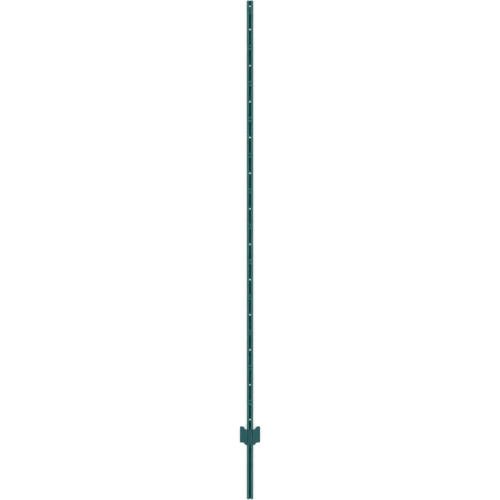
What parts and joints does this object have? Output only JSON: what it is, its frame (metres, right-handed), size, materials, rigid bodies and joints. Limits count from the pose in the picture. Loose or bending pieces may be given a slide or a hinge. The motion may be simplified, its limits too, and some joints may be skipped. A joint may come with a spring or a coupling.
{
  "type": "studded steel u post",
  "caption": "Hat-section steel fence post with round holes and pairs of pressed studs along its web, and a winged anchor plate across its open side near the bottom.",
  "frame": {"origin": "under the middle of the length, on the surface that the back of the web rests on", "axes": "+Y along the post towards its top end, +Z out of the open side, +X across the post"},
  "size_m": [0.0878, 2.134, 0.0162],
  "materials": {
    "green_paint": "gloss enamel",
    "green_paint_plate": "gloss enamel"
  },
  "bodies": {
    "root": {"post": "green_paint", "anchor_plate": "green_paint_plate"}
  },
  "joints": []
}
